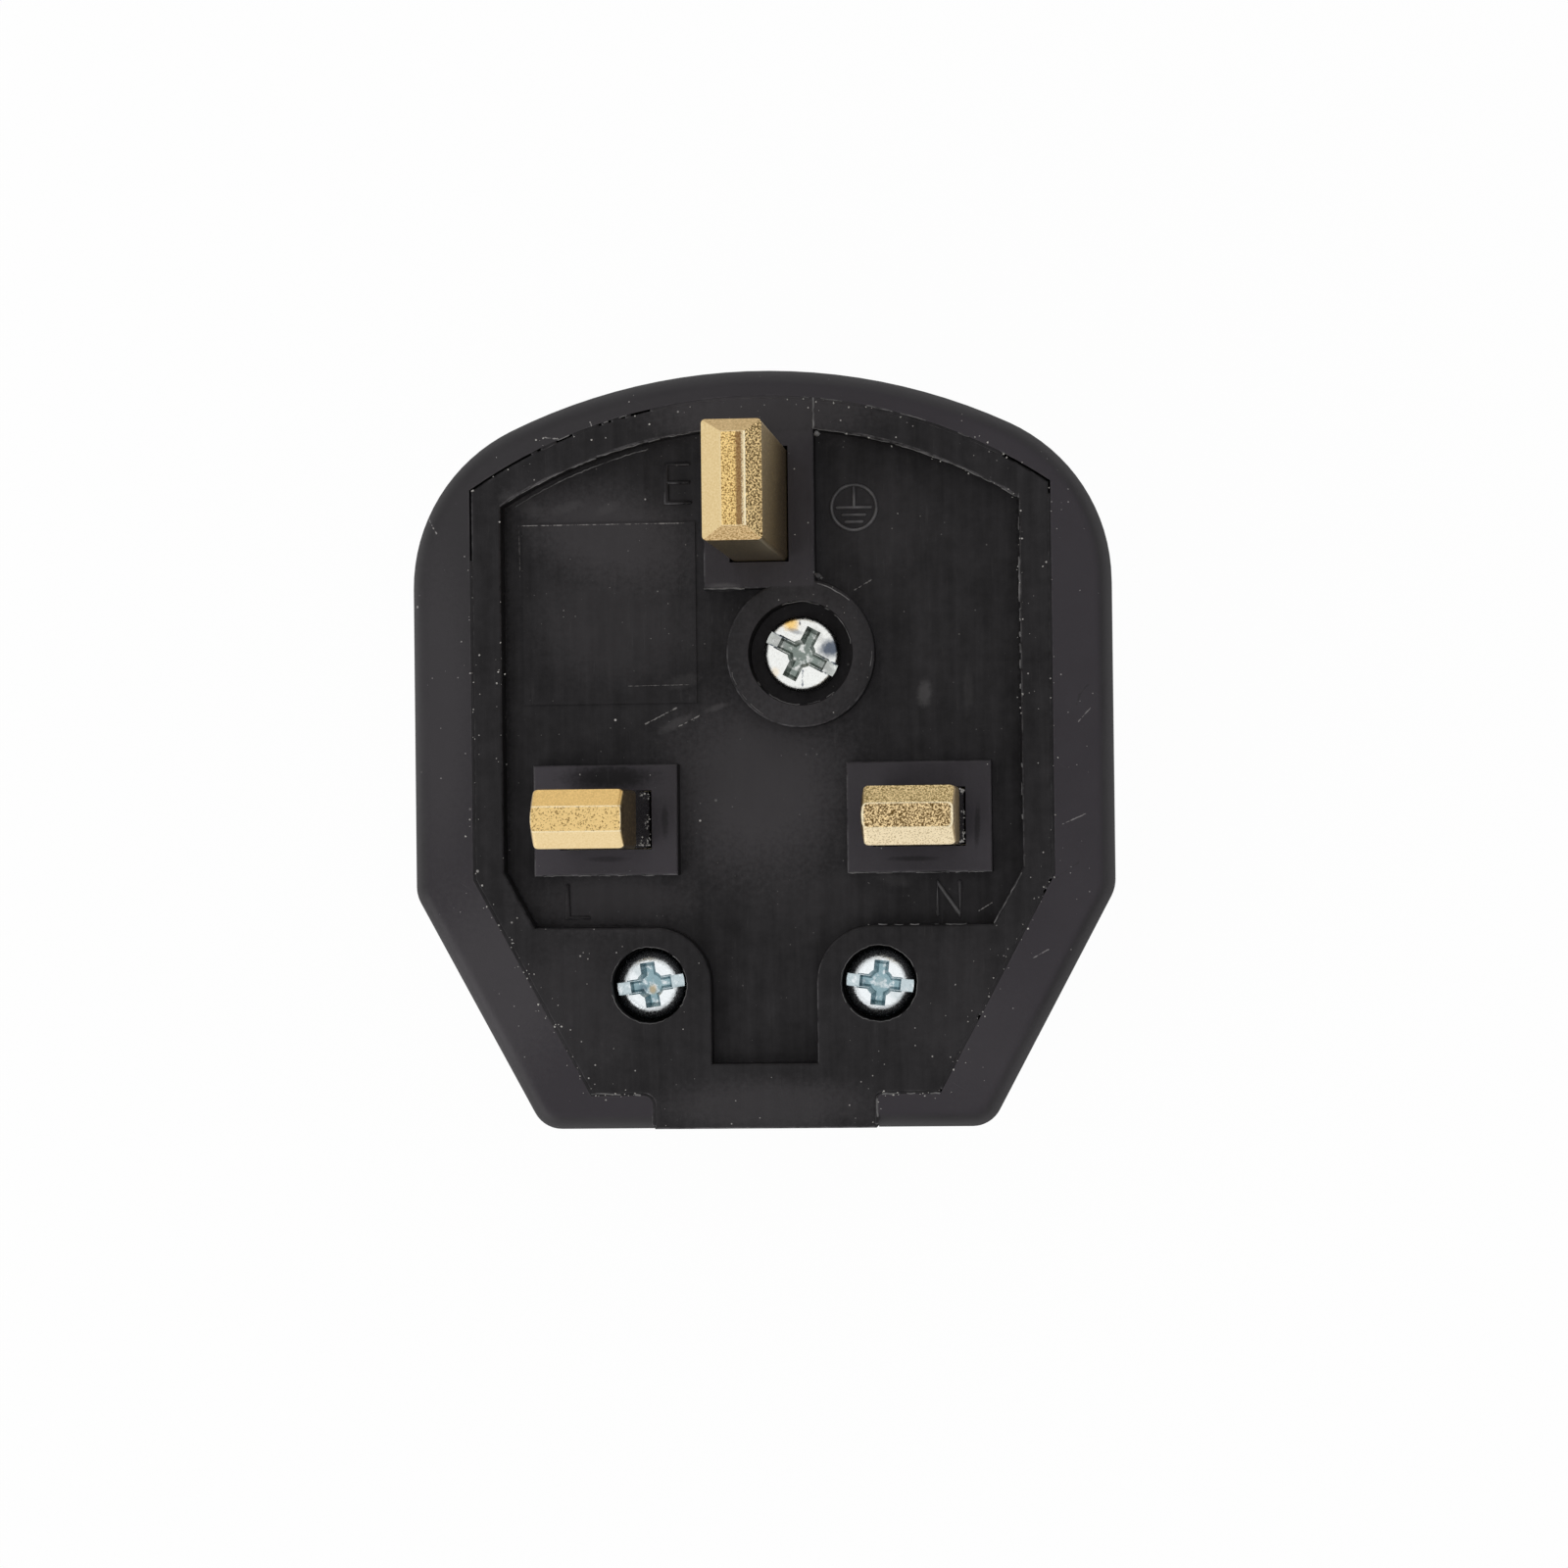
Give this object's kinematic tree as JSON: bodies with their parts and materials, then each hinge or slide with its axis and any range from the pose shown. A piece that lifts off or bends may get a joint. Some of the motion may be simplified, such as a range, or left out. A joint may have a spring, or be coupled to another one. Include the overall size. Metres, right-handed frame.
{
  "type": "uk three pin plug",
  "caption": "Rewirable mains plug with rectangular brass pins, insulated line and neutral shanks, a screwed shell, an internal cartridge fuse and a cord grip at the lower end.",
  "frame": {"origin": "centre of the flat back of the cover, which rests on the table, at the middle of the overall width and height", "axes": "+Z out of the engagement face along the pins, +Y from the cord entry towards the earth pin, +X towards the neutral pin"},
  "size_m": [0.0496, 0.0537, 0.0487],
  "materials": {
    "cover": "satin moulded thermoset, black",
    "base": "matt moulded thermoset, black",
    "pin_brass": "drawn brass with grained slopes at the tip",
    "sleeve": "smooth black insulation",
    "screw_steel": "bright zinc plate",
    "inner_brass": "plain machined and sheet brass",
    "fibre_washer": "vulcanised fibre",
    "fuse_body": "unglazed ceramic",
    "fuse_metal": "nickel plate"
  },
  "bodies": {
    "root": {"cover": "cover", "base_moulding": "base", "earth_pin": "pin_brass", "neutral_pin": "pin_brass", "line_pin": "pin_brass", "neutral_pin_sleeve": "sleeve", "line_pin_sleeve": "sleeve", "cover_screw": "screw_steel", "cover_screw_washer": "fibre_washer", "cover_screw_insert": "inner_brass", "cord_grip_bar": "base", "cord_grip_screws": "screw_steel", "terminal_screws": "screw_steel", "line_terminal": "inner_brass", "line_fuse_clip": "inner_brass", "load_fuse_clip": "inner_brass", "fuse_barrel": "fuse_body", "line_fuse_cap": "fuse_metal", "load_fuse_cap": "fuse_metal", "fuse_element": "fuse_metal"}
  },
  "joints": []
}
